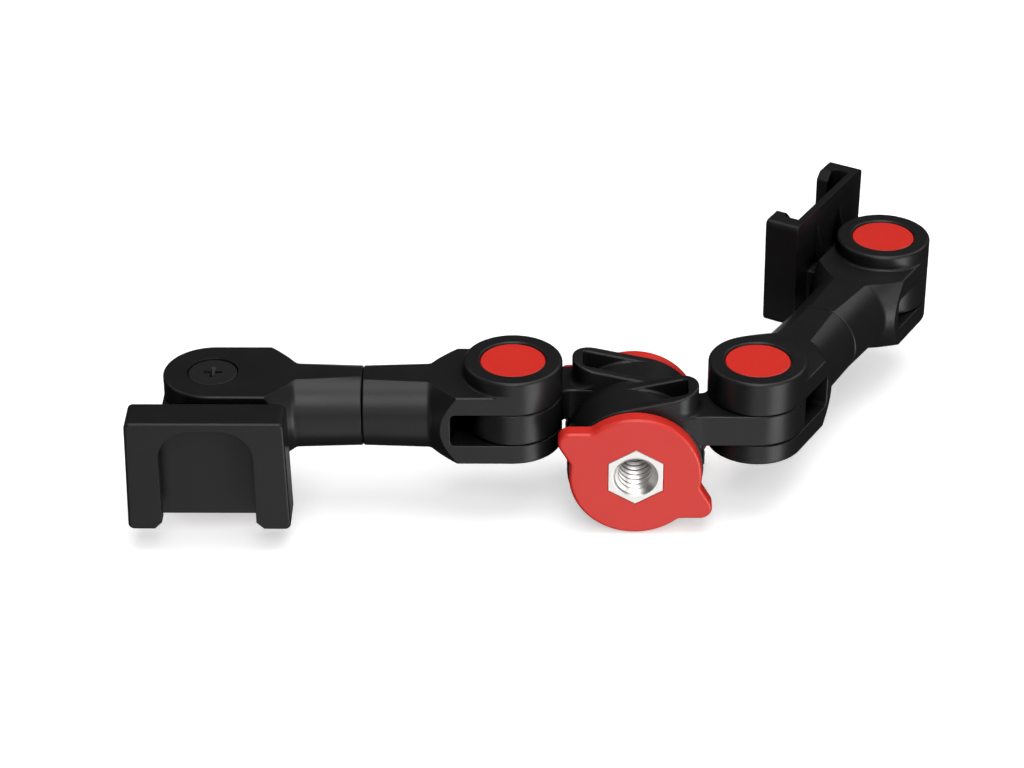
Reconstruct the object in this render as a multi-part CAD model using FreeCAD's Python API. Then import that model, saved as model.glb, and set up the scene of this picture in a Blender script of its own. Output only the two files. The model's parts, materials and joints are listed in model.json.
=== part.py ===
"""Cold shoe extension bar: a threaded hub with two hinged, swivelling arms and two cold shoes.

Millimetres. The origin is the middle of the hub's thread, whose axis is Y and whose
front mouth looks along -Y. Z is up and parallel to the hinge pins at rest.
"""
import FreeCAD, Part
import math
import os

Vector = FreeCAD.Vector
X_AXIS = Vector(1, 0, 0)
Y_AXIS = Vector(0, 1, 0)
Z_AXIS = Vector(0, 0, 1)
CENTRE = Vector(0, 0, 0)

# Layout
ARM_LENGTH = 45.0            # from an arm's hub pin to its shoe pin
PIN_SPAN = 36.6              # between the two hub pins
PIN_PLANE_HEIGHT = 6.2       # middle plane of the tongues above the thread axis
RIGHT_ARM_ANGLE = 60.2       # the right arm is turned back by this much

# Knuckles, shared by the forks and all four tongues
KNUCKLE_RADIUS = 7.43
TONGUE_THICKNESS = 5.1
TONGUE_EDGE_RADIUS = 0.3
TONGUE_CLEARANCE = 0.1       # on each face of a tongue
PIN_CLEARANCE = 0.05         # around a pin in a tongue
SWING_CLEARANCE = 0.1        # between a fork's round end and the hub, at the least

# Forks
BOSS_SIDE = 5.69             # from the tongue's middle plane to the face under the boss
SCREW_SIDE = 5.86            # from the tongue's middle plane to the face with the screw
FORK_EDGE_RADIUS = 0.35
SLOT_DEPTH = 9.3             # from the pin to the slot's floor
SLOT_CORNER_RADIUS = 0.8
SLOT_EDGE_RADIUS = 0.2       # round the slot's mouth
SHOULDER_START = 8.13        # where the flat sides of the fork end
SHOULDER_END = 12.39         # where the conical shoulder meets the neck
NECK_ROOT_RADIUS = 6.28
NECK_TIP_RADIUS = 6.0
NECK_FILLET = 1.4
SEAM_GAP = 0.12              # between the two halves of an arm
SEAM_CHAMFER = 0.15
BOSS_HEIGHT = 2.45           # above the fork's flat face
BOSS_EDGE_RADIUS = 0.5
BOSS_FOOT_RADIUS = 0.4       # fillet between the boss and the fork's face
BOSS_MOUTH_RADIUS = 0.35     # round the mouth of the cap's recess

# Hinge hardware: a low-head screw, a disc spring, a nut and a snap-in cap
HINGE_PIN_RADIUS = 2.0
HINGE_HEAD_RADIUS = 3.72
HINGE_HEAD_HEIGHT = 1.6
HINGE_HEAD_SUNK = 0.12       # below the fork's face
SCREW_EDGE_RADIUS = 0.25
HINGE_NUT_ACROSS_FLATS = 7.0
HINGE_NUT_THICKNESS = 2.1
SPRING_RADIUS = 3.3
SPRING_THICKNESS = 0.42
SPRING_CONE = 0.1            # rise of the disc spring from rim to hole
CAP_RADIUS = 4.88
CAP_THICKNESS = 1.2
CAP_SUNK = 0.23              # below the boss's rim
CAP_EDGE_RADIUS = 0.2
SEAT_CLEARANCE = 0.04        # around parts that sit still in their pockets
HARDWARE_CLEARANCE = 0.1     # between a screw and a hole that it only passes

# Swivel hardware, along the neck of each arm
SWIVEL_PIN_RADIUS = 1.5
SWIVEL_HEAD_RADIUS = 2.45
SWIVEL_HEAD_HEIGHT = 1.5
SWIVEL_NUT_ACROSS_FLATS = 5.0
SWIVEL_NUT_THICKNESS = 2.0
SWIVEL_SPRING_RADIUS = 2.35
SPIGOT_RADIUS = 3.6
SPIGOT_LENGTH = 2.5

# Cross recess in a screw's head
RECESS_REACH = 1.45
RECESS_WIDTH = 0.62
RECESS_DEPTH = 1.0
RECESS_FLOOR_SHARE = 0.5     # the recess's floor against its mouth

# Hub
DRUM_RADIUS = 10.2
DRUM_LENGTH = 15.8
DRUM_EDGE_RADIUS = 0.25
COLUMN_REACH = 9.4           # from the thread axis to a column's round end
COLUMN_CORNER_RADIUS = 3.6
COLUMN_WALL = 1.65
COLUMN_TILT = 12.6           # slope of a column's rim
COLUMN_SPLIT = 0.3           # from the middle plane to a column's inner face
COLUMN_FOOT_RADIUS = 0.9     # fillet between a column and the top of its tongue
RIM_EDGE_RADIUS = 0.3
POCKET_CORNER_RADIUS = 0.7
POCKET_FLOOR_RADIUS = 0.4    # fillet between the long walls and the drum
STEM_FILLET = 1.2            # between a tongue's round end and its stem
STEM_EASE_START = 7.0        # where the stem's outer side starts to leave the drum's end face
STEM_EASE_RADIUS = 6.0
UNDERSIDE_FILLET = 0.8       # between a tongue's underside and the hub's flat side
SIDE_CORNER_RADIUS = 0.8

# Tightening wheels and the threaded sleeve that they drive
WHEEL_RADIUS = 9.93
WHEEL_THICKNESS = 2.3
WHEEL_GAP = 0.1              # between a wheel and the drum
WHEEL_EDGE_RADIUS = 0.5
TAB_ANGLE = 150.0            # direction of the first tab, seen from the front
TAB_APEX = 14.9              # sharp apex of a tab from the axis
TAB_SPREAD = 60.0            # between the two sides of a tab
TAB_TIP_RADIUS = 1.8
TAB_FILLET = 1.3
COLLAR_RADIUS = 6.0          # bearing collar behind a wheel
COLLAR_LENGTH = 3.4
BEARING_CLEARANCE = 0.05
SLEEVE_ACROSS_FLATS = 8.27
SLEEVE_CLEARANCE = 0.02
SLEEVE_CORNER_SPACE = 0.3    # around the sleeve's corners inside the hub
THREAD_BORE_RADIUS = 2.57    # minor radius of a quarter inch, 20 per inch thread
THREAD_MOUTH_RADIUS = 3.28

# Cold shoes
SHOE_WIDTH = 23.36           # at the closed end
SHOE_OPEN_WIDTH = 24.23      # at the open end, wider by the mould's draft
SHOE_SHORT_END = 5.97        # from the tongue's middle plane to the closed end
SHOE_LONG_END = 12.45        # from the tongue's middle plane to the open end
SHOE_FACE = 15.23            # from the pin to the front of the lips
PLATE_BACK = 9.57            # from the pin to the back of the plate
PLATE_THICKNESS = 1.15
LIP_THICKNESS = 1.9
CHANNEL_WIDTH = 18.8
CHANNEL_END = 4.3            # from the tongue's middle plane to the channel's stop
CHANNEL_CORNER_RADIUS = 0.8
MOUTH_WIDTH = 13.99
MOUTH_END = 4.57
MOUTH_CORNER_RADIUS = 4.8
LEG_CHAMFER = 1.3
SHOE_CORNER_RADIUS = 0.9
SHOE_EDGE_RADIUS = 0.4
PLATE_FILLET = 0.5           # between the tongue and the back of the plate
GUSSET_SPACING = 8.0
GUSSET_THICKNESS = 1.0
GUSSET_DEPTH = 1.45
GUSSET_LONG_END = 9.5
GUSSET_SHORT_END = 5.2

# Worked out from the sizes above
TONGUE_HALF = TONGUE_THICKNESS / 2
SLOT_HALF = TONGUE_HALF + TONGUE_CLEARANCE
BOSS_TOP = BOSS_SIDE + BOSS_HEIGHT
HINGE_HEAD_FACE = SCREW_SIDE - HINGE_HEAD_SUNK
SEAM = ARM_LENGTH / 2
NECK_END = SEAM - SEAM_GAP / 2
CAP_TOP = BOSS_TOP - CAP_SUNK
CAP_SEAT = CAP_TOP - CAP_THICKNESS
NUT_TOP = CAP_SEAT - HARDWARE_CLEARANCE
NUT_BOTTOM = NUT_TOP - HINGE_NUT_THICKNESS
SPRING_SEAT = NUT_BOTTOM - SPRING_THICKNESS - SPRING_CONE
SWIVEL_START = SLOT_DEPTH + HARDWARE_CLEARANCE
SWIVEL_HEAD_SEAT = SWIVEL_START + SWIVEL_HEAD_HEIGHT
SWIVEL_NUT_SEAT = SWIVEL_START + SWIVEL_NUT_THICKNESS + SPRING_THICKNESS + SPRING_CONE
DECK = PIN_PLANE_HEIGHT + TONGUE_HALF
DRUM_FACE = DRUM_LENGTH / 2
WHEEL_BACK = DRUM_FACE + WHEEL_GAP
WHEEL_FACE = WHEEL_BACK + WHEEL_THICKNESS
COLLAR_END = WHEEL_BACK - COLLAR_LENGTH
RIM_TANGENT_X = DRUM_RADIUS * math.sin(math.radians(COLUMN_TILT))
RIM_TANGENT_Z = DRUM_RADIUS * math.cos(math.radians(COLUMN_TILT))
PLATE_FRONT = PLATE_BACK + PLATE_THICKNESS
PLATE_MIDDLE = PLATE_BACK + PLATE_THICKNESS / 2
EXCESS = 1.0                 # how far a cutting shape runs past a face


def outline(corners):
    """Flat face in the XY plane through corners (x, y, radius), each rounded by its radius."""
    count = len(corners)
    edges = []
    last_end = None
    first_start = None
    for index, (x, y, radius) in enumerate(corners):
        here = Vector(x, y, 0)
        back = (Vector(*corners[index - 1][:2], 0) - here).normalize()
        ahead = (Vector(*corners[(index + 1) % count][:2], 0) - here).normalize()
        start, end = here, here
        if radius > 0:
            half = back.getAngle(ahead) / 2
            start = here + back * (radius / math.tan(half))
            end = here + ahead * (radius / math.tan(half))
            bisector = (back + ahead).normalize()
            middle = here + bisector * (radius / math.sin(half) - radius)
        if last_end is None:
            first_start = start
        elif last_end.distanceToPoint(start) > 1e-6:
            edges.append(Part.LineSegment(last_end, start).toShape())
        if radius > 0:
            edges.append(Part.Arc(start, middle, end).toShape())
        last_end = end
    if last_end.distanceToPoint(first_start) > 1e-6:
        edges.append(Part.LineSegment(last_end, first_start).toShape())
    return Part.Face(Part.Wire(edges))


def prism(corners, low, high):
    """Solid over an outline in plan, between two heights."""
    face = outline(corners)
    face.translate(Vector(0, 0, low))
    return face.extrude(Vector(0, 0, high - low))


def prism_along_y(corners, low, high):
    """Solid over an outline of (x, z, radius), between two places along Y."""
    face = outline(corners)
    face.rotate(CENTRE, X_AXIS, 90)
    face.translate(Vector(0, low, 0))
    return face.extrude(Vector(0, high - low, 0))


def rectangle(low_x, low_y, high_x, high_y, radius=0.0):
    corners = [(low_x, low_y), (high_x, low_y), (high_x, high_y), (low_x, high_y)]
    return [(x, y, radius) for x, y in corners]


def corner_fill(x, z, side_x, side_z, radius, low, high):
    """Concave fillet along Y in the corner at (x, z), which is open towards side_x and side_z."""
    step_x = side_x * radius
    step_z = side_z * radius
    return prism_along_y([(x - step_x, z - step_z, 0), (x + step_x, z - step_z, 0), (x + step_x, z, 0),
                          (x, z, radius), (x, z + step_z, 0), (x - step_x, z + step_z, 0)], low, high)


def turned(corners):
    """Solid of revolution about Z from an outline of (radius, height, corner radius)."""
    face = outline(corners)
    face.rotate(CENTRE, X_AXIS, 90)
    return face.revolve(CENTRE, Z_AXIS, 360)


def turned_along_x(corners):
    """Solid of revolution about X from an outline of (distance, radius, corner radius)."""
    return outline(corners).revolve(CENTRE, X_AXIS, 360)


def rod(radius, low, high):
    """Plain cylinder on the Z axis."""
    return Part.makeCylinder(radius, high - low, Vector(0, 0, low))


def hexagon(across_flats):
    """Corners of a hexagon with two flats square to X."""
    reach = across_flats / 2 / math.cos(math.radians(30))
    angles = [math.radians(30 + 60 * step) for step in range(6)]
    return [(reach * math.cos(angle), reach * math.sin(angle), 0) for angle in angles]


def z_to_x(shape):
    """Turn a shape that stands on Z so that it lies along X."""
    shape.rotate(CENTRE, Y_AXIS, 90)
    return shape


def z_to_front(shape):
    """Turn a shape that stands on Z so that its top looks along -Y and its plan is seen upright."""
    shape.rotate(CENTRE, X_AXIS, 90)
    return shape


def edges_at(shape, test):
    """Edges of a shape whose middle point passes a test."""
    found = []
    for edge in shape.Edges:
        middle = edge.valueAt((edge.FirstParameter + edge.LastParameter) / 2)
        if test(edge, middle):
            found.append(edge)
    return found


def runs_along(edge, axis):
    """True for a straight edge parallel to an axis."""
    if not isinstance(edge.Curve, Part.Line):
        return False
    return abs(abs(edge.tangentAt(edge.FirstParameter).dot(axis)) - 1) < 1e-6


def cross_recess():
    """Tapered cross with its mouth at z = 0 and its floor below."""
    wires = []
    for scale, height in ((1.0, 0.0), (RECESS_FLOOR_SHARE, -RECESS_DEPTH)):
        reach = RECESS_REACH * scale
        half = RECESS_WIDTH * (1 + scale) / 4
        quarter = [(reach, -half), (reach, half), (half, half)]
        points = []
        for turn in range(4):
            for x, y in quarter:
                angle = math.radians(90 * turn)
                points.append(Vector(x * math.cos(angle) - y * math.sin(angle),
                                     x * math.sin(angle) + y * math.cos(angle), height))
        wires.append(Part.makePolygon(points + points[:1]))
    return Part.makeLoft(wires, True, True)


def screw(pin_radius, head_radius, head_height, length):
    """Screw on Z with its head's face at z = 0 and its pin pointing up to the length."""
    body = turned([(0, 0, 0), (head_radius, 0, SCREW_EDGE_RADIUS), (head_radius, head_height, 0),
                   (pin_radius, head_height, 0), (pin_radius, length - SCREW_EDGE_RADIUS, 0),
                   (pin_radius - SCREW_EDGE_RADIUS, length, 0), (0, length, 0)])
    recess = cross_recess()
    recess.rotate(CENTRE, X_AXIS, 180)
    return body.cut(recess)


def nut(across_flats, thickness, pin_radius):
    """Hexagon nut on Z from z = 0, with turned chamfers on both faces."""
    corner = across_flats / 2 / math.cos(math.radians(30))
    chamfer = (corner - across_flats / 2) * math.tan(math.radians(30))
    blank = prism(hexagon(across_flats), 0, thickness)
    shell = turned([(0, 0, 0), (across_flats / 2, 0, 0), (corner, chamfer, 0),
                    (corner, thickness - chamfer, 0), (across_flats / 2, thickness, 0), (0, thickness, 0)])
    return blank.common(shell).cut(rod(pin_radius + SEAT_CLEARANCE, -EXCESS, thickness + EXCESS))


def disc_spring(radius, pin_radius):
    """Conical spring washer on Z: its rim rests at z = 0 and its hole's edge stands higher."""
    hole = pin_radius + HARDWARE_CLEARANCE
    return turned([(hole, SPRING_CONE, 0), (radius, 0, 0), (radius, SPRING_THICKNESS, 0),
                   (hole, SPRING_CONE + SPRING_THICKNESS, 0)])


def fork_blank():
    """Outer form of half an arm: round knuckle with its boss, flat fork, conical shoulder, neck."""
    block = prism(rectangle(0, -KNUCKLE_RADIUS, NECK_END, KNUCKLE_RADIUS), -SCREW_SIDE, BOSS_SIDE)
    block = block.makeFillet(FORK_EDGE_RADIUS, edges_at(block, lambda edge, point: runs_along(edge, X_AXIS)))
    corner_radius = math.hypot(KNUCKLE_RADIUS, (BOSS_SIDE + SCREW_SIDE) / 2)
    slope = (corner_radius - NECK_ROOT_RADIUS) / (SHOULDER_END - SHOULDER_START)
    envelope = turned_along_x([
        (-EXCESS, 0, 0), (-EXCESS, corner_radius + EXCESS, 0),
        (SHOULDER_START - EXCESS / slope, corner_radius + EXCESS, 0),
        (SHOULDER_END, NECK_ROOT_RADIUS, NECK_FILLET),
        (NECK_END - SEAM_CHAMFER, NECK_TIP_RADIUS, 0),
        (NECK_END, NECK_TIP_RADIUS - SEAM_CHAMFER, 0), (NECK_END, 0, 0)])
    knuckle = turned([(0, -SCREW_SIDE, 0), (KNUCKLE_RADIUS, -SCREW_SIDE, FORK_EDGE_RADIUS),
                      (KNUCKLE_RADIUS, BOSS_TOP, BOSS_EDGE_RADIUS), (0, BOSS_TOP, 0)])
    foot = turned([(KNUCKLE_RADIUS - BOSS_FOOT_RADIUS, BOSS_SIDE - BOSS_FOOT_RADIUS, 0),
                   (KNUCKLE_RADIUS + BOSS_FOOT_RADIUS, BOSS_SIDE - BOSS_FOOT_RADIUS, 0),
                   (KNUCKLE_RADIUS + BOSS_FOOT_RADIUS, BOSS_SIDE, 0),
                   (KNUCKLE_RADIUS, BOSS_SIDE, BOSS_FOOT_RADIUS),
                   (KNUCKLE_RADIUS, BOSS_SIDE + BOSS_FOOT_RADIUS, 0),
                   (KNUCKLE_RADIUS - BOSS_FOOT_RADIUS, BOSS_SIDE + BOSS_FOOT_RADIUS, 0)])
    foot = foot.common(prism(rectangle(0, -KNUCKLE_RADIUS, NECK_END, KNUCKLE_RADIUS), 0, BOSS_TOP))
    return block.common(envelope).fuse([knuckle, foot]).removeSplitter()


def rounded_slot(body):
    """Fork with its slot's mouth rounded along both flat sides and round the knuckle."""
    def on_mouth(edge, point):
        outside = KNUCKLE_RADIUS - (abs(point.y) if point.x > 0 else math.hypot(point.x, point.y))
        return abs(outside) < 1e-4 and abs(point.z) < SLOT_HALF + 1e-4 and point.x < SLOT_DEPTH + 1e-4

    return body.makeFillet(SLOT_EDGE_RADIUS, edges_at(body, on_mouth))


def hinge_cuts():
    """Slot, pin holes and pockets for the hinge's screw, spring, nut and cap."""
    slot = prism([(-KNUCKLE_RADIUS - EXCESS, -SLOT_HALF, 0), (SLOT_DEPTH, -SLOT_HALF, SLOT_CORNER_RADIUS),
                  (SLOT_DEPTH, SLOT_HALF, SLOT_CORNER_RADIUS), (-KNUCKLE_RADIUS - EXCESS, SLOT_HALF, 0)],
                 -KNUCKLE_RADIUS - EXCESS, KNUCKLE_RADIUS + EXCESS)
    slot.rotate(CENTRE, X_AXIS, 90)
    pin_hole = rod(HINGE_PIN_RADIUS + HARDWARE_CLEARANCE, -SCREW_SIDE - EXCESS, BOSS_TOP)
    head_pocket = rod(HINGE_HEAD_RADIUS + HARDWARE_CLEARANCE, -SCREW_SIDE - EXCESS,
                      -HINGE_HEAD_FACE + HINGE_HEAD_HEIGHT)
    nut_pocket = prism(hexagon(HINGE_NUT_ACROSS_FLATS + 2 * SEAT_CLEARANCE), SPRING_SEAT, BOSS_TOP)
    mouth = CAP_RADIUS + SEAT_CLEARANCE
    cap_pocket = turned([(0, CAP_SEAT, 0), (mouth, CAP_SEAT, 0), (mouth, BOSS_TOP, BOSS_MOUTH_RADIUS),
                         (mouth + BOSS_MOUTH_RADIUS, BOSS_TOP, 0),
                         (mouth + BOSS_MOUTH_RADIUS, BOSS_TOP + EXCESS, 0), (0, BOSS_TOP + EXCESS, 0)])
    return [slot, pin_hole, head_pocket, nut_pocket, cap_pocket]


def inner_fork():
    """Half of an arm on the hub's side: its neck ends in the spigot that the swivel turns on."""
    spigot = rod(SPIGOT_RADIUS, SEAM - SPIGOT_LENGTH, SEAM + SPIGOT_LENGTH)
    pin_hole = rod(SWIVEL_PIN_RADIUS + HARDWARE_CLEARANCE, 0, SEAM + SPIGOT_LENGTH + EXCESS)
    head_pocket = rod(SWIVEL_HEAD_RADIUS + HARDWARE_CLEARANCE, 0, SWIVEL_HEAD_SEAT)
    slot, *pockets = hinge_cuts()
    body = rounded_slot(fork_blank().cut(slot)).fuse(z_to_x(spigot))
    return body.cut(pockets + [z_to_x(pin_hole), z_to_x(head_pocket)]).removeSplitter()


def outer_fork():
    """Half of an arm on the shoe's side: its neck holds the spigot's socket and the swivel's nut."""
    socket = rod(SPIGOT_RADIUS + BEARING_CLEARANCE, SEAM - SPIGOT_LENGTH - SEAM_GAP, SEAM + EXCESS)
    pin_hole = rod(SWIVEL_PIN_RADIUS + HARDWARE_CLEARANCE, 0, SEAM)
    nut_pocket = prism(hexagon(SWIVEL_NUT_ACROSS_FLATS + 2 * SEAT_CLEARANCE), 0, SWIVEL_NUT_SEAT)
    slot, *pockets = hinge_cuts()
    cuts = pockets + [z_to_x(cut) for cut in (socket, pin_hole, nut_pocket)]
    return rounded_slot(fork_blank().cut(slot)).cut(cuts).removeSplitter()


def hinge_screw():
    body = screw(HINGE_PIN_RADIUS, HINGE_HEAD_RADIUS, HINGE_HEAD_HEIGHT, NUT_TOP + HINGE_HEAD_FACE)
    body.translate(Vector(0, 0, -HINGE_HEAD_FACE))
    return body


def hinge_nut():
    body = nut(HINGE_NUT_ACROSS_FLATS, HINGE_NUT_THICKNESS, HINGE_PIN_RADIUS)
    body.translate(Vector(0, 0, NUT_BOTTOM))
    return body


def hinge_spring():
    body = disc_spring(SPRING_RADIUS, HINGE_PIN_RADIUS)
    body.translate(Vector(0, 0, SPRING_SEAT))
    return body


def hinge_cap():
    """Snap-in cap over the nut, hollow underneath where the screw's end stands."""
    return turned([(0, CAP_SEAT + CAP_THICKNESS / 2, 0), (HINGE_PIN_RADIUS, CAP_SEAT + CAP_THICKNESS / 2, 0),
                   (HINGE_PIN_RADIUS, CAP_SEAT, 0), (CAP_RADIUS, CAP_SEAT, 0),
                   (CAP_RADIUS, CAP_TOP, CAP_EDGE_RADIUS), (0, CAP_TOP, 0)])


def swivel_screw():
    """Long screw through the neck, measured from the hub pin along the arm."""
    body = screw(SWIVEL_PIN_RADIUS, SWIVEL_HEAD_RADIUS, SWIVEL_HEAD_HEIGHT, ARM_LENGTH - 2 * SWIVEL_START)
    body.translate(Vector(0, 0, SWIVEL_START))
    return z_to_x(body)


def swivel_nut():
    """Nut in the outer fork's pocket, measured from the shoe pin along the arm."""
    body = nut(SWIVEL_NUT_ACROSS_FLATS, SWIVEL_NUT_THICKNESS, SWIVEL_PIN_RADIUS)
    body.translate(Vector(0, 0, SWIVEL_START))
    return z_to_x(body)


def swivel_spring():
    body = disc_spring(SWIVEL_SPRING_RADIUS, SWIVEL_PIN_RADIUS)
    body.rotate(CENTRE, X_AXIS, 180)
    body.translate(Vector(0, 0, SWIVEL_NUT_SEAT))
    return z_to_x(body)


def eye():
    """Round end of a tongue, on the pin at the origin."""
    return rod(KNUCKLE_RADIUS, -TONGUE_HALF, TONGUE_HALF)


def rounded_faces(shape, free_side):
    """Tongue with rounded edges round both faces, apart from its free side, where it runs into a body."""
    outer = edges_at(shape, lambda edge, point: abs(abs(point.z) - TONGUE_HALF) < 1e-4
                     and not free_side(point))
    return shape.makeFillet(TONGUE_EDGE_RADIUS, outer)


def stem_side(low_x, corner_radius):
    """Plan of a hub half from its middle plane to its end face, which eases in to the tongue's width."""
    return [(low_x, COLUMN_SPLIT, corner_radius), (0, COLUMN_SPLIT, 0), (0, DRUM_FACE, 0),
            (-STEM_EASE_START, DRUM_FACE, STEM_EASE_RADIUS)]


def hub_tongue():
    """Tongue on the hub's left, its stem in the rear half, in the hub's own place."""
    pin_x = PIN_SPAN / 2
    plan = stem_side(-pin_x, 0)
    plan += [(-DRUM_RADIUS, KNUCKLE_RADIUS, STEM_EASE_RADIUS), (-pin_x, KNUCKLE_RADIUS, 0)]
    stem = prism(plan, -TONGUE_HALF, TONGUE_HALF)
    round_end = eye()
    round_end.translate(Vector(-pin_x, 0, 0))
    body = round_end.fuse(stem).removeSplitter()
    inner_corner = edges_at(body, lambda edge, point: runs_along(edge, Z_AXIS)
                            and abs(point.y - COLUMN_SPLIT) < 0.01 and -pin_x + EXCESS < point.x < -EXCESS)
    body = body.makeFillet(STEM_FILLET, inner_corner)
    body = rounded_faces(body, lambda point: point.x > -1e-4)
    body.translate(Vector(0, 0, PIN_PLANE_HEIGHT))
    return body


def hub_side():
    """Flat-sided web under the rear left tongue, with the fillet that joins them."""
    plan = stem_side(-DRUM_RADIUS, SIDE_CORNER_RADIUS)
    plan += [(-DRUM_RADIUS, KNUCKLE_RADIUS, SIDE_CORNER_RADIUS)]
    underside = PIN_PLANE_HEIGHT - TONGUE_HALF
    fillet = corner_fill(-DRUM_RADIUS, underside, -1, -1, UNDERSIDE_FILLET,
                         COLUMN_SPLIT + TONGUE_EDGE_RADIUS, KNUCKLE_RADIUS - TONGUE_EDGE_RADIUS)
    return prism(plan, 0, PIN_PLANE_HEIGHT).fuse(fillet)


def column_plan():
    """Column in plan: straight sides from the drum's middle out to a round end."""
    return [(-COLUMN_REACH, COLUMN_SPLIT, COLUMN_CORNER_RADIUS), (RIM_TANGENT_X, COLUMN_SPLIT, 0),
            (RIM_TANGENT_X, DRUM_FACE, 0), (-COLUMN_REACH, DRUM_FACE, COLUMN_CORNER_RADIUS)]


def under_rim(sunk):
    """Space below a column's rim plane, which touches the drum, or below that plane sunk by a distance."""
    low_x = -COLUMN_REACH - EXCESS
    slope = math.tan(math.radians(COLUMN_TILT))
    return prism_along_y([(low_x, 0, 0), (RIM_TANGENT_X, 0, 0), (RIM_TANGENT_X, RIM_TANGENT_Z - sunk, 0),
                          (low_x, RIM_TANGENT_Z + (RIM_TANGENT_X - low_x) * slope - sunk, 0)],
                         0, DRUM_FACE + EXCESS)


def column_pocket():
    """Space between a column's walls; the drum closes it below."""
    plan = rectangle(-COLUMN_REACH + COLUMN_WALL, COLUMN_SPLIT + COLUMN_WALL,
                     RIM_TANGENT_X + EXCESS, DRUM_FACE - COLUMN_WALL, POCKET_CORNER_RADIUS)
    return prism(plan, 0, 2 * DRUM_RADIUS)


def hub_column():
    """Rear left column: an open-topped box whose rim slopes down and ends tangent to the drum."""
    body = prism(column_plan(), 0, 2 * DRUM_RADIUS).common(under_rim(0)).cut(column_pocket())
    slope = math.tan(math.radians(COLUMN_TILT))

    def on_rim(edge, point):
        off_plane = point.z - RIM_TANGENT_Z - (RIM_TANGENT_X - point.x) * slope
        return abs(off_plane) < 1e-4 and point.x < RIM_TANGENT_X - 1e-4

    return body.makeFillet(RIM_EDGE_RADIUS, edges_at(body, on_rim))


def column_foot():
    """Fillet that spreads from the foot of a column over its tongue, up to the stem's two sides."""
    far = COLUMN_REACH + EXCESS + COLUMN_FOOT_RADIUS
    floor = prism(rectangle(-far, -far, RIM_TANGENT_X, far), DECK - EXCESS, DECK)
    post = prism(column_plan(), DECK - EXCESS, DECK + EXCESS + COLUMN_FOOT_RADIUS)
    body = floor.fuse(post).removeSplitter()
    inner = edges_at(body, lambda edge, point: abs(point.z - DECK) < 1e-4
                     and -COLUMN_REACH - 1e-4 < point.x < RIM_TANGENT_X - 1e-4
                     and COLUMN_SPLIT - 1e-4 < point.y < DRUM_FACE + 1e-4)
    body = body.makeFillet(COLUMN_FOOT_RADIUS, inner)
    plan = stem_side(-far, 0)
    plan += [(-DRUM_RADIUS, KNUCKLE_RADIUS, STEM_EASE_RADIUS), (-far, KNUCKLE_RADIUS, 0)]
    return body.common(prism(plan, DECK, DECK + COLUMN_FOOT_RADIUS))


def pocket_fillets():
    """Concave fillets along both long walls of a pocket, where they meet the drum."""
    low = DRUM_RADIUS - POCKET_FLOOR_RADIUS
    high = DRUM_RADIUS + POCKET_FLOOR_RADIUS
    fillets = []
    for wall, side in ((COLUMN_SPLIT + COLUMN_WALL, 1), (DRUM_FACE - COLUMN_WALL, -1)):
        inside = wall - side * POCKET_FLOOR_RADIUS
        outside = wall + side * POCKET_FLOOR_RADIUS
        face = outline([(low, inside, 0), (high, inside, 0), (high, wall, 0),
                        (DRUM_RADIUS, wall, POCKET_FLOOR_RADIUS),
                        (DRUM_RADIUS, outside, 0), (low, outside, 0)])
        fillets.append(face.revolve(CENTRE, Y_AXIS, 360).common(under_rim(RIM_EDGE_RADIUS)))
    return fillets


def fork_room():
    """Spaces above and below the hub's left tongue that the round end of its fork swings in."""
    far = PIN_PLANE_HEIGHT + 2 * DRUM_RADIUS
    rooms = [rod(KNUCKLE_RADIUS + SWING_CLEARANCE, low, high)
             for low, high in ((SLOT_HALF, far), (-far, -SLOT_HALF))]
    for room in rooms:
        room.translate(Vector(-PIN_SPAN / 2, 0, PIN_PLANE_HEIGHT))
    return rooms


def lying_rod(radius, reach):
    """Cylinder on the thread axis, as far to the front as to the rear."""
    return Part.makeCylinder(radius, 2 * reach, Vector(0, -reach, 0), Y_AXIS)


def hub_body():
    """Moulded hub: a drum with two columns, each the other turned half round, and two tongues."""
    drum = lying_rod(DRUM_RADIUS, DRUM_FACE)
    rims = edges_at(drum, lambda edge, point: isinstance(edge.Curve, Part.Circle))
    drum = drum.makeFillet(DRUM_EDGE_RADIUS, rims)
    pin_hole = rod(HINGE_PIN_RADIUS + PIN_CLEARANCE, -TONGUE_THICKNESS, TONGUE_THICKNESS)
    pin_hole.translate(Vector(-PIN_SPAN / 2, 0, PIN_PLANE_HEIGHT))
    half = hub_tongue().fuse([hub_side(), column_foot()]).cut([column_pocket(), pin_hole])
    half = half.fuse([hub_column()] + pocket_fillets())
    other_half = half.copy()
    other_half.rotate(CENTRE, Z_AXIS, 180)
    sleeve_corner = SLEEVE_ACROSS_FLATS / 2 / math.cos(math.radians(30))
    spaces = [lying_rod(sleeve_corner + SLEEVE_CORNER_SPACE, DRUM_LENGTH)]
    for room in fork_room():
        other_room = room.copy()
        other_room.rotate(CENTRE, Z_AXIS, 180)
        spaces += [room, other_room]
    for side in (-1, 1):
        collar_bore = Part.makeCylinder(COLLAR_RADIUS + BEARING_CLEARANCE, DRUM_LENGTH,
                                        Vector(0, side * (COLLAR_END - WHEEL_GAP), 0), Vector(0, side, 0))
        spaces.append(collar_bore)
    return drum.fuse([half, other_half]).cut(spaces).removeSplitter()


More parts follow.
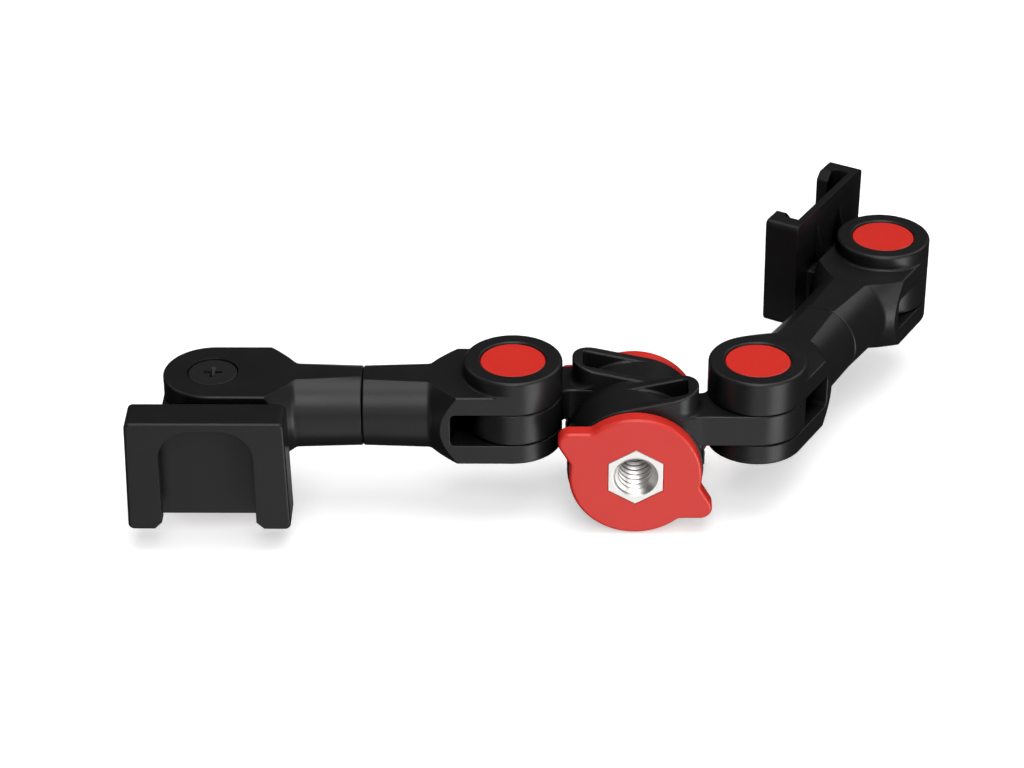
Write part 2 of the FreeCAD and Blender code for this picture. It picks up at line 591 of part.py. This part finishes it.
def wheel():
    """Tightening wheel on Z with its back at z = 0, its face up and its collar below."""
    body = rod(WHEEL_RADIUS, 0, WHEEL_THICKNESS)
    spread = math.radians(TAB_SPREAD / 2)
    width = (TAB_APEX - COLLAR_RADIUS) * math.tan(spread)
    for turn in (TAB_ANGLE, TAB_ANGLE + 180):
        tab = prism([(COLLAR_RADIUS, -width, 0), (TAB_APEX, 0, TAB_TIP_RADIUS), (COLLAR_RADIUS, width, 0)],
                    0, WHEEL_THICKNESS)
        tab.rotate(CENTRE, Z_AXIS, turn)
        body = body.fuse(tab)
    body = body.removeSplitter()
    corners = edges_at(body, lambda edge, point: runs_along(edge, Z_AXIS)
                       and abs(math.hypot(point.x, point.y) - WHEEL_RADIUS) < 0.01)
    body = body.makeFillet(TAB_FILLET, corners)
    face_edges = edges_at(body, lambda edge, point: abs(point.z - WHEEL_THICKNESS) < 1e-4)
    body = body.makeFillet(WHEEL_EDGE_RADIUS, face_edges)
    body = body.fuse(rod(COLLAR_RADIUS, -COLLAR_LENGTH, EXCESS))
    hole = prism(hexagon(SLEEVE_ACROSS_FLATS + 2 * SLEEVE_CLEARANCE), -COLLAR_LENGTH - EXCESS,
                 WHEEL_THICKNESS + EXCESS)
    return body.cut(hole).removeSplitter()


def front_wheel():
    body = wheel()
    body.translate(Vector(0, 0, WHEEL_BACK))
    return z_to_front(body)


def rear_wheel():
    """The same wheel at the back, one flat of the sleeve on, so that its tabs lie behind the front ones."""
    body = front_wheel()
    body.rotate(CENTRE, X_AXIS, 180)
    body.rotate(CENTRE, Y_AXIS, 60)
    return body


def thread_sleeve():
    """Steel hexagon sleeve, threaded right through; the bore is at the thread's minor radius."""
    body = prism(hexagon(SLEEVE_ACROSS_FLATS), -WHEEL_FACE, WHEEL_FACE)
    mouth_depth = THREAD_MOUTH_RADIUS - THREAD_BORE_RADIUS
    bore = turned([(0, -WHEEL_FACE, 0), (THREAD_MOUTH_RADIUS, -WHEEL_FACE, 0),
                   (THREAD_BORE_RADIUS, -WHEEL_FACE + mouth_depth, 0),
                   (THREAD_BORE_RADIUS, WHEEL_FACE - mouth_depth, 0),
                   (THREAD_MOUTH_RADIUS, WHEEL_FACE, 0), (0, WHEEL_FACE, 0)])
    return z_to_front(body.cut(bore))


def shoe():
    """Cold shoe: pin at the origin, front along +X, closed end up, tongue behind the plate."""
    front_plan = [(-SHOE_OPEN_WIDTH / 2, -SHOE_LONG_END, SHOE_CORNER_RADIUS),
                  (SHOE_OPEN_WIDTH / 2, -SHOE_LONG_END, SHOE_CORNER_RADIUS),
                  (SHOE_WIDTH / 2, SHOE_SHORT_END, SHOE_CORNER_RADIUS),
                  (-SHOE_WIDTH / 2, SHOE_SHORT_END, SHOE_CORNER_RADIUS)]
    block = prism(front_plan, PLATE_BACK, SHOE_FACE)
    face_edges = edges_at(block, lambda edge, point: abs(point.z - SHOE_FACE) < 1e-4)
    block = block.makeFillet(SHOE_EDGE_RADIUS, face_edges)
    low = -SHOE_LONG_END - EXCESS
    half_channel = CHANNEL_WIDTH / 2
    channel = prism([(-half_channel, low, 0), (half_channel, low, 0),
                     (half_channel, CHANNEL_END, CHANNEL_CORNER_RADIUS),
                     (-half_channel, CHANNEL_END, CHANNEL_CORNER_RADIUS)],
                    PLATE_FRONT, SHOE_FACE - LIP_THICKNESS)
    lip_side = edges_at(channel, lambda edge, point: runs_along(edge, Y_AXIS)
                        and point.z > PLATE_FRONT + EXCESS)
    channel = channel.makeFillet(CHANNEL_CORNER_RADIUS, lip_side)
    half_mouth = MOUTH_WIDTH / 2
    flare = half_mouth + LEG_CHAMFER + EXCESS
    leg_end = -SHOE_LONG_END + LEG_CHAMFER
    mouth = prism([(-flare, low, 0), (flare, low, 0), (half_mouth, leg_end, 0),
                   (half_mouth, MOUTH_END, MOUTH_CORNER_RADIUS),
                   (-half_mouth, MOUTH_END, MOUTH_CORNER_RADIUS),
                   (-half_mouth, leg_end, 0)], PLATE_FRONT, SHOE_FACE + EXCESS)
    plate = block.cut([channel, mouth])
    plate.rotate(CENTRE, Vector(1, 1, 1), 120)
    stem = prism(rectangle(0, -KNUCKLE_RADIUS, PLATE_MIDDLE, KNUCKLE_RADIUS), -TONGUE_HALF, TONGUE_HALF)
    tongue = rounded_faces(eye().fuse(stem).removeSplitter(), lambda point: point.x > PLATE_MIDDLE - 1e-4)
    fillets = [corner_fill(PLATE_BACK, side * TONGUE_HALF, -1, side, PLATE_FILLET,
                           -KNUCKLE_RADIUS + TONGUE_EDGE_RADIUS, KNUCKLE_RADIUS - TONGUE_EDGE_RADIUS)
               for side in (-1, 1)]
    body = plate.fuse([tongue] + fillets + gussets())
    pin_hole = rod(HINGE_PIN_RADIUS + PIN_CLEARANCE, -TONGUE_THICKNESS, TONGUE_THICKNESS)
    return body.cut(pin_hole).removeSplitter()


def gussets():
    """Thin upright ribs between the tongue's faces and the back of the plate."""
    ribs = []
    for end, sign in ((GUSSET_SHORT_END, 1), (GUSSET_LONG_END, -1)):
        profile = [(PLATE_BACK - GUSSET_DEPTH, 0, 0), (PLATE_BACK - GUSSET_DEPTH, sign * TONGUE_HALF, 0),
                   (PLATE_BACK, sign * end, 0), (PLATE_MIDDLE, sign * end, 0), (PLATE_MIDDLE, 0, 0)]
        for middle in (-GUSSET_SPACING / 2, GUSSET_SPACING / 2):
            ribs.append(prism_along_y(profile, middle - GUSSET_THICKNESS / 2, middle + GUSSET_THICKNESS / 2))
    return ribs


def placed(shape, pin, direction, turned_over):
    """Copy of a part from its own frame to its pin, with +X turned to a direction in plan."""
    copy = shape.copy()
    if turned_over:
        copy.rotate(CENTRE, X_AXIS, 180)
    copy.rotate(CENTRE, Z_AXIS, direction)
    copy.translate(pin)
    return copy


def arm_nodes(side, hub_pin, direction, outer_turned_over, shoe_turned_over, shoe_direction):
    """Named pieces of one arm with its shoe."""
    angle = math.radians(direction)
    shoe_pin = hub_pin + Vector(math.cos(angle), math.sin(angle), 0) * ARM_LENGTH
    hinge_parts = {"hinge_screw": hinge_screw(), "hinge_nut": hinge_nut(),
                   "hinge_spring": hinge_spring(), "hinge_cap": hinge_cap()}
    nodes = {}
    for end, body, pin, heading, over in (
            ("inner", inner_fork(), hub_pin, direction, False),
            ("outer", outer_fork(), shoe_pin, direction + 180, outer_turned_over)):
        nodes[f"{side}_{end}_fork"] = placed(body, pin, heading, over)
        for name, part in hinge_parts.items():
            nodes[f"{side}_{end}_{name}"] = placed(part, pin, heading, over)
    nodes[f"{side}_swivel_screw"] = placed(swivel_screw(), hub_pin, direction, False)
    nodes[f"{side}_swivel_nut"] = placed(swivel_nut(), shoe_pin, direction + 180, outer_turned_over)
    nodes[f"{side}_swivel_spring"] = placed(swivel_spring(), shoe_pin, direction + 180, outer_turned_over)
    nodes[f"{side}_shoe"] = placed(shoe(), shoe_pin, shoe_direction, shoe_turned_over)
    return nodes


def all_nodes():
    left_pin = Vector(-PIN_SPAN / 2, 0, PIN_PLANE_HEIGHT)
    right_pin = Vector(PIN_SPAN / 2, 0, PIN_PLANE_HEIGHT)
    nodes = {"hub_body": hub_body(), "front_wheel": front_wheel(), "rear_wheel": rear_wheel(),
             "thread_sleeve": thread_sleeve()}
    nodes.update(arm_nodes("left", left_pin, 180, True, False, -90))
    nodes.update(arm_nodes("right", right_pin, RIGHT_ARM_ANGLE, False, True, RIGHT_ARM_ANGLE + 90))
    return nodes


os.makedirs("parts", exist_ok=True)
for node_name, node_shape in all_nodes().items():
    node_shape.exportStep(f"parts/{node_name}.step")
    print(node_name, node_shape.isValid(), len(node_shape.Solids), round(node_shape.Volume, 1))
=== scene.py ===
"""Cold shoe extension bar: finishes, steel thread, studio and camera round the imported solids. Metres."""
import json
import math
import bmesh
import bpy
from mathutils import Matrix, Vector


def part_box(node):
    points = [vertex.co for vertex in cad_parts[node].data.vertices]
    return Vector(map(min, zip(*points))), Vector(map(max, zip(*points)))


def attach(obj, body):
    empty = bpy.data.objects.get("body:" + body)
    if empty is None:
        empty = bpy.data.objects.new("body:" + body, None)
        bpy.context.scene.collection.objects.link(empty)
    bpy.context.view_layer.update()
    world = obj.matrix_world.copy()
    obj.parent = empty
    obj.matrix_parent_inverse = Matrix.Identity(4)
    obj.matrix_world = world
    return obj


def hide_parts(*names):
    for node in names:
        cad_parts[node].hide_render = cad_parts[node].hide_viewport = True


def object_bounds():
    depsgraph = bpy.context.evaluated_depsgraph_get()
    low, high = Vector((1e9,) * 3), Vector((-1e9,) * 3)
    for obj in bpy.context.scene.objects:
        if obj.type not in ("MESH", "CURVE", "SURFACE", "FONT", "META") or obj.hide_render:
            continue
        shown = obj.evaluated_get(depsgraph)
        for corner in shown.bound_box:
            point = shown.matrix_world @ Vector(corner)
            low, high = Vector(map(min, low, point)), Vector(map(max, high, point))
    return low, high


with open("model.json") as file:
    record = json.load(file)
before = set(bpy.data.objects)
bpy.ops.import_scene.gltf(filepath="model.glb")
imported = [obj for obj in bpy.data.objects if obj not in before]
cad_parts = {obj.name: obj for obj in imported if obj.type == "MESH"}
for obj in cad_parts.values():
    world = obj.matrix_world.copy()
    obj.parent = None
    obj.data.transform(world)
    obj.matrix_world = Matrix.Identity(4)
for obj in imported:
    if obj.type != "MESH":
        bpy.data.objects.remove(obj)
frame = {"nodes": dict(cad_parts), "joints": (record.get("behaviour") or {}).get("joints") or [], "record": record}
cad_low, cad_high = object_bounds()

MM = 0.001
JOINTS = {joint["name"]: joint for joint in frame["joints"]}
SLOT_OF = {row["node"]: row["material_slot"] for row in frame["record"]["subparts"]}

# Camera, measured in the photograph, with its angles in degrees
PICTURE_WIDTH = 1024                # in pixels, as is the focal length
FOCAL_PIXELS = 3007.7
SENSOR_WIDTH = 36.0                 # in millimetres, as the camera counts it
CAMERA_ELEVATION = 31.179
CAMERA_YAW = -0.682
CAMERA_ROLL = -0.235
CAMERA_DISTANCE = 453.114 * MM      # along the view, from the camera to the middle between the hub's pins
VIEW_RIGHT = 18.460 * MM            # how far right of the view's middle that point lies
VIEW_UP = -3.260 * MM
CLIP_START = 10 * MM
BLACK_POINT = 0.003                 # light that the picture still shows as black

# Steel sleeve and its thread, a quarter inch, 20 per inch
THREAD_PITCH = 1.27 * MM
THREAD_MINOR = 2.57 * MM            # radii
THREAD_MAJOR = 3.19 * MM
THREAD_MOUTH = 3.38 * MM
CREST_SHARE = 0.14                  # flat part of a crest against the pitch
ROOT_SHARE = 0.12
THREAD_SIDES = 72
THREAD_STEPS = 24                   # rows of faces to each turn
HEX_SIDES = 6
SLEEVE_CHAMFER = 0.12 * MM

# Finishes: tones are the darkest and the lightest colour, roughness is the smoothest and the roughest value
EDGE_SOFTNESS = 0.15 * MM           # breaks the light on edges that the mould leaves nearly sharp
EDGE_SAMPLES = 4
NOISE_LOW = 0.3                     # most values of a noise lie between these two
NOISE_HIGH = 0.7

NYLON_TONES = ((0.0104, 0.0104, 0.0109), (0.0124, 0.0124, 0.0130))
NYLON_ROUGHNESS = (0.34, 0.39)
NYLON_SPECULAR = 0.32
NYLON_CLOUD = 6.0 * MM              # size of the patches that the tones and the roughness drift with
NYLON_GRAIN = 0.16 * MM
NYLON_GRAIN_DEPTH = 0.006 * MM
NYLON_PEBBLE = 0.42 * MM
NYLON_PEBBLE_DEPTH = 0.004 * MM

RED_TONES = ((0.600, 0.025, 0.017), (0.635, 0.028, 0.019))
RED_ROUGHNESS = (0.33, 0.40)
RED_FLOW = 5.0 * MM
RED_PEEL = 0.5 * MM
RED_PEEL_DEPTH = 0.004 * MM
RED_GRAIN = 0.12 * MM
RED_GRAIN_DEPTH = 0.003 * MM

STEEL_TONES = ((0.80, 0.78, 0.76), (0.86, 0.84, 0.82))
STEEL_ROUGHNESS = (0.33, 0.39)
STEEL_HAZE = 1.4 * MM
WAVE_PITCH = math.pi / 10           # between the rings of a wave texture at a scale of 1
TOOL_MARK_PITCH = 0.14137 * MM
TOOL_MARK_WOBBLE = 0.2
TOOL_MARK_DEPTH = 0.0004 * MM

BLACKENED_TONES = ((0.0115, 0.0115, 0.0120), (0.0135, 0.0135, 0.0140))
BLACKENED_ROUGHNESS = (0.46, 0.54)
BLACKENED_SPECULAR = 0.30
BLACKENED_MOTTLE = 0.7 * MM

ZINC_TONES = ((0.496, 0.504, 0.520), (0.713, 0.7245, 0.7475))
ZINC_ROUGHNESS = (0.25, 0.38)
SPRING_TONES = ((0.256, 0.256, 0.264), (0.368, 0.368, 0.3795))
SPRING_ROUGHNESS = (0.30, 0.43)
HARDWARE_MOTTLE = 0.8 * MM
HARDWARE_GRAIN = 0.1 * MM
HARDWARE_GRAIN_DEPTH = 0.002 * MM

# Studio
FLOOR_SIZE = 6.0
FLOOR_GREY = 0.78
FLOOR_ROUGHNESS = 0.9
FLOOR_SPECULAR = 0.1
FLOOR_GLOW = 0.50                   # keeps the shadows on the white floor faint
WORLD_GREY = 0.03
LIGHT_DISTANCE = 1.0                # from the part's middle
# name: azimuth in degrees from the camera's side towards +X, elevation, width and height in metres, watts
SOFTBOXES = {
    "top": (60.0, 84.0, 0.80, 0.80, 7.0),
    "key": (0.0, 45.0, 0.50, 0.50, 3.9),
    "front": (0.0, 14.0, 0.50, 0.40, 0.8),
    "right": (45.0, 15.0, 0.50, 0.50, 1.8),
    "right_low": (45.0, -20.0, 0.50, 0.50, 4.6),
    "front_low": (0.0, -20.0, 0.50, 0.50, 1.0),
    "front_under": (15.0, -50.0, 0.70, 0.50, 1.5),
    "left_low": (-60.0, -10.0, 0.60, 0.50, 0.5),
    "rear_right": (125.0, 45.0, 0.60, 0.50, 1.9),
    "rear_low": (180.0, -20.0, 0.60, 0.50, 0.6),
    "rear_left": (-115.0, 45.0, 0.60, 0.50, 0.8),
}


def grey(level):
    """Grey as a colour with full cover."""
    return (level, level, level, 1.0)


def principled(name, values):
    """Material with these values on its shader's sockets; returns it with its node tree and shader."""
    material = bpy.data.materials.new(name)
    material.use_nodes = True
    shader = material.node_tree.nodes["Principled BSDF"]
    for socket, value in values.items():
        shader.inputs[socket].default_value = value
    return material, material.node_tree, shader


def object_place(tree):
    """Place on the object in metres."""
    return tree.nodes.new("ShaderNodeTexCoord").outputs["Object"]


def noise(tree, place, size, detail=2.0, roughness=0.5):
    """Noise whose grains are about the given size across."""
    node = tree.nodes.new("ShaderNodeTexNoise")
    node.inputs["Scale"].default_value = 1.0 / size
    node.inputs["Detail"].default_value = detail
    node.inputs["Roughness"].default_value = roughness
    tree.links.new(place, node.inputs["Vector"])
    return node.outputs["Fac"]


def vary_colour(tree, shader, patches, tones):
    """Let the base colour drift between two tones with a noise."""
    dark, light = tones
    node = tree.nodes.new("ShaderNodeMix")
    node.data_type = "RGBA"
    node.inputs["A"].default_value = (*dark, 1.0)
    node.inputs["B"].default_value = (*light, 1.0)
    tree.links.new(patches, node.inputs["Factor"])
    tree.links.new(node.outputs["Result"], shader.inputs["Base Color"])
    shader.inputs["Base Color"].default_value = (*((a + b) / 2 for a, b in zip(dark, light)), 1.0)


def vary_roughness(tree, shader, patches, limits):
    """Let the roughness drift between two limits with a noise."""
    node = tree.nodes.new("ShaderNodeMapRange")
    node.inputs["From Min"].default_value = NOISE_LOW
    node.inputs["From Max"].default_value = NOISE_HIGH
    node.inputs["To Min"].default_value, node.inputs["To Max"].default_value = limits
    tree.links.new(patches, node.inputs["Value"])
    tree.links.new(node.outputs["Result"], shader.inputs["Roughness"])
    shader.inputs["Roughness"].default_value = sum(limits) / 2


def bumps(tree, shader, layers):
    """Stack height fields, each a value with its depth, on a normal that is softened at the edges."""
    edges = tree.nodes.new("ShaderNodeBevel")
    edges.samples = EDGE_SAMPLES
    edges.inputs["Radius"].default_value = EDGE_SOFTNESS
    normal = edges.outputs["Normal"]
    for value, depth in layers:
        node = tree.nodes.new("ShaderNodeBump")
        node.inputs["Distance"].default_value = depth
        tree.links.new(value, node.inputs["Height"])
        tree.links.new(normal, node.inputs["Normal"])
        normal = node.outputs["Normal"]
    tree.links.new(normal, shader.inputs["Normal"])


def black_plastic():
    """Glass-filled nylon with a spark-eroded mould texture: fine grain, satin."""
    material, tree, shader = principled("black_nylon", {"Specular IOR Level": NYLON_SPECULAR})
    place = object_place(tree)
    grain = noise(tree, place, NYLON_GRAIN, detail=3.0, roughness=0.6)
    pebble = noise(tree, place, NYLON_PEBBLE, detail=1.0)
    cloud = noise(tree, place, NYLON_CLOUD, detail=3.0)
    vary_colour(tree, shader, cloud, NYLON_TONES)
    vary_roughness(tree, shader, cloud, NYLON_ROUGHNESS)
    bumps(tree, shader, [(grain, NYLON_GRAIN_DEPTH), (pebble, NYLON_PEBBLE_DEPTH)])
    return material


def red_plastic():
    """Smooth red moulding with a slight orange-peel and a faint flow in its colour."""
    material, tree, shader = principled("red_moulding", {})
    place = object_place(tree)
    peel = noise(tree, place, RED_PEEL)
    grain = noise(tree, place, RED_GRAIN)
    flow = noise(tree, place, RED_FLOW)
    vary_colour(tree, shader, flow, RED_TONES)
    vary_roughness(tree, shader, peel, RED_ROUGHNESS)
    bumps(tree, shader, [(grain, RED_GRAIN_DEPTH), (peel, RED_PEEL_DEPTH)])
    return material


def machined_steel():
    """Turned steel: fine rings round the thread's axis on its faces and a bright, slightly uneven sheen."""
    material, tree, shader = principled("machined_steel", {"Metallic": 1.0})
    place = object_place(tree)
    rings = tree.nodes.new("ShaderNodeTexWave")
    rings.wave_type = "RINGS"
    rings.rings_direction = "Y"
    rings.inputs["Scale"].default_value = WAVE_PITCH / TOOL_MARK_PITCH
    rings.inputs["Distortion"].default_value = TOOL_MARK_WOBBLE
    tree.links.new(place, rings.inputs["Vector"])
    haze = noise(tree, place, STEEL_HAZE, detail=3.0)
    vary_colour(tree, shader, haze, STEEL_TONES)
    vary_roughness(tree, shader, haze, STEEL_ROUGHNESS)
    bumps(tree, shader, [(rings.outputs["Fac"], TOOL_MARK_DEPTH)])
    return material


def hardware_steel(name, tones, roughness):
    """Plated or oiled hardware with a little mottling."""
    material, tree, shader = principled(name, {"Metallic": 1.0})
    place = object_place(tree)
    mottle = noise(tree, place, HARDWARE_MOTTLE, detail=3.0)
    grain = noise(tree, place, HARDWARE_GRAIN)
    vary_colour(tree, shader, mottle, tones)
    vary_roughness(tree, shader, mottle, roughness)
    bumps(tree, shader, [(grain, HARDWARE_GRAIN_DEPTH)])
    return material


def blackened_steel():
    """Black-coated screw: as dark as the plastic, duller and without its grain."""
    material, tree, shader = principled("blackened_steel", {"Specular IOR Level": BLACKENED_SPECULAR})
    mottle = noise(tree, object_place(tree), BLACKENED_MOTTLE, detail=3.0)
    vary_colour(tree, shader, mottle, BLACKENED_TONES)
    vary_roughness(tree, shader, mottle, BLACKENED_ROUGHNESS)
    return material


def finish_nodes(finishes):
    """Give every solid the material of its slot."""
    for name, node in frame["nodes"].items():
        node.data.materials.clear()
        node.data.materials.append(finishes[SLOT_OF[name]])


def thread_radius(turn):
    """Radius of the internal thread's flank at a share of one pitch."""
    share = turn % 1.0
    slope = (1.0 - CREST_SHARE - ROOT_SHARE) / 2
    if share < CREST_SHARE:
        rise = 0.0
    elif share < CREST_SHARE + slope:
        rise = (share - CREST_SHARE) / slope
    elif share < CREST_SHARE + slope + ROOT_SHARE:
        rise = 1.0
    else:
        rise = (1.0 - share) / slope
    return THREAD_MINOR + (THREAD_MAJOR - THREAD_MINOR) * rise


def around_thread(radius, share, y):
    """Point round the thread's axis, at a share of a turn from +Z towards +X."""
    angle = 2 * math.pi * share
    return Vector((radius * math.sin(angle), y, radius * math.cos(angle)))


def join_rings(mesh, first, second, smooth=False):
    """Faces between two closed rings with equally many corners."""
    for corner in range(len(first)):
        after = (corner + 1) % len(first)
        face = mesh.faces.new((first[corner], first[after], second[after], second[corner]))
        face.smooth = smooth


def bore_rings(mesh, front_y, length):
    """Rings of corners down the bore: the thread, with a mouth turned in it at both ends."""
    rows = round(length / THREAD_PITCH * THREAD_STEPS)
    rings = []
    for row in range(rows + 1):
        y = length * (row / rows - 0.5)
        to_end = length / 2 - abs(y)
        mouth = max(THREAD_MOUTH - to_end, THREAD_MINOR)
        ring = []
        for side in range(THREAD_SIDES):
            share = side / THREAD_SIDES
            radius = max(thread_radius(y / THREAD_PITCH - share), mouth)
            ring.append(mesh.verts.new(around_thread(radius, share, front_y + length / 2 + y)))
        rings.append(ring)
    return rings


def hexagon_end(mesh, ring, corner, end_y, outward):
    """End face between the bore's last ring and the hexagon, with its chamfer; returns the chamfer's foot."""
    rim, foot = [], []
    for flat in range(HEX_SIDES):
        share = flat / HEX_SIDES
        rim.append(mesh.verts.new(around_thread(corner - SLEEVE_CHAMFER, share, end_y)))
        foot.append(mesh.verts.new(around_thread(corner, share, end_y - outward * SLEEVE_CHAMFER)))
    per_flat = THREAD_SIDES // HEX_SIDES
    for flat in range(HEX_SIDES):
        arc = [ring[(flat * per_flat + step) % THREAD_SIDES] for step in range(per_flat + 1)]
        mesh.faces.new([rim[flat], *arc, rim[(flat + 1) % HEX_SIDES]])
    join_rings(mesh, rim, foot)
    return foot


def threaded_sleeve(material):
    """Steel hexagon sleeve with a real thread right through, in the place of its plain solid."""
    low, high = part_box("thread_sleeve")
    corner = (high.z - low.z) / 2
    mesh = bmesh.new()
    rings = bore_rings(mesh, low.y, high.y - low.y)
    for near, far in zip(rings, rings[1:]):
        join_rings(mesh, near, far, smooth=True)
    front_foot = hexagon_end(mesh, rings[0], corner, low.y, -1)
    rear_foot = hexagon_end(mesh, rings[-1], corner, high.y, 1)
    join_rings(mesh, front_foot, rear_foot)
    bmesh.ops.recalc_face_normals(mesh, faces=mesh.faces)
    data = bpy.data.meshes.new("threaded_sleeve")
    mesh.to_mesh(data)
    mesh.free()
    data.materials.append(material)
    sleeve = bpy.data.objects.new("threaded_sleeve", data)
    bpy.context.scene.collection.objects.link(sleeve)
    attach(sleeve, "wheels")
    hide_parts("thread_sleeve")


def paper_floor():
    """White floor under the part's lowest point: a backdrop that takes shadows but doesn't light the part."""
    half = FLOOR_SIZE / 2
    data = bpy.data.meshes.new("floor")
    corners = [(x, y, cad_low.z) for x, y in ((-half, -half), (half, -half), (half, half), (-half, half))]
    data.from_pydata(corners, [], [(0, 1, 2, 3)])
    material = principled("floor_paper", {
        "Base Color": grey(FLOOR_GREY),
        "Roughness": FLOOR_ROUGHNESS,
        "Specular IOR Level": FLOOR_SPECULAR,
        "Emission Color": grey(1.0),
        "Emission Strength": FLOOR_GLOW,
    })[0]
    data.materials.append(material)
    floor = bpy.data.objects.new("floor", data)
    bpy.context.scene.collection.objects.link(floor)
    floor.visible_diffuse = False
    floor.visible_glossy = False
    floor.visible_shadow = False


def softbox(name, azimuth, elevation, width, height, power):
    """Soft area light that looks at the part's middle from a direction given in degrees."""
    turn, rise = math.radians(azimuth), math.radians(elevation)
    direction = Vector((math.sin(turn) * math.cos(rise), -math.cos(turn) * math.cos(rise), math.sin(rise)))
    data = bpy.data.lights.new(name, "AREA")
    data.shape = "RECTANGLE"
    data.size = width
    data.size_y = height
    data.energy = power
    light = bpy.data.objects.new(name, data)
    light.location = (cad_low + cad_high) / 2 + direction * LIGHT_DISTANCE
    light.rotation_euler = (-direction).to_track_quat("-Z", "Y").to_euler()
    bpy.context.scene.collection.objects.link(light)


def studio():
    """Pale floor, soft lights all round and a dim world."""
    paper_floor()
    for name, values in SOFTBOXES.items():
        softbox(name, *values)
    world = bpy.data.worlds.new("studio")
    world.use_nodes = True
    world.node_tree.nodes["Background"].inputs["Color"].default_value = grey(WORLD_GREY)
    bpy.context.scene.world = world


def photo_camera():
    """Camera at the photograph's place: its axes from its angles, its place from the hub's two pins."""
    elevation, yaw, roll = (math.radians(angle) for angle in (CAMERA_ELEVATION, CAMERA_YAW, CAMERA_ROLL))
    ahead = Vector((math.sin(yaw), math.cos(yaw), 0.0))
    forward = ahead * math.cos(elevation) - Vector((0.0, 0.0, math.sin(elevation)))
    level = Vector((math.cos(yaw), -math.sin(yaw), 0.0))
    right = level * math.cos(roll) + level.cross(forward) * math.sin(roll)
    up = right.cross(forward)
    pins = [Vector(JOINTS[name]["pos_m"]) for name in ("left_arm_hinge", "right_arm_hinge")]
    between_pins = (pins[0] + pins[1]) / 2
    data = bpy.data.cameras.new("photo_camera")
    data.sensor_width = SENSOR_WIDTH
    data.lens = FOCAL_PIXELS / PICTURE_WIDTH * SENSOR_WIDTH
    data.clip_start = CLIP_START
    camera = bpy.data.objects.new("photo_camera", data)
    bpy.context.scene.collection.objects.link(camera)
    camera.location = between_pins - right * VIEW_RIGHT - up * VIEW_UP - forward * CAMERA_DISTANCE
    camera.rotation_euler = Matrix((right, up, -forward)).transposed().to_euler()
    bpy.context.scene.camera = camera


def photo_tones():
    """Plain view transform whose deepest shadows go to black."""
    view = bpy.context.scene.view_settings
    view.view_transform = "Standard"
    view.use_curve_mapping = True
    view.curve_mapping.black_level = (BLACK_POINT, BLACK_POINT, BLACK_POINT)
    view.curve_mapping.update()


FINISHES = {
    "black_plastic": black_plastic(),
    "red_plastic": red_plastic(),
    "machined_steel": machined_steel(),
    "black_steel": blackened_steel(),
    "plated_steel": hardware_steel("zinc_plate", ZINC_TONES, ZINC_ROUGHNESS),
    "spring_steel": hardware_steel("oiled_spring_steel", SPRING_TONES, SPRING_ROUGHNESS),
}
finish_nodes(FINISHES)
threaded_sleeve(FINISHES["machined_steel"])
studio()
photo_camera()
photo_tones()
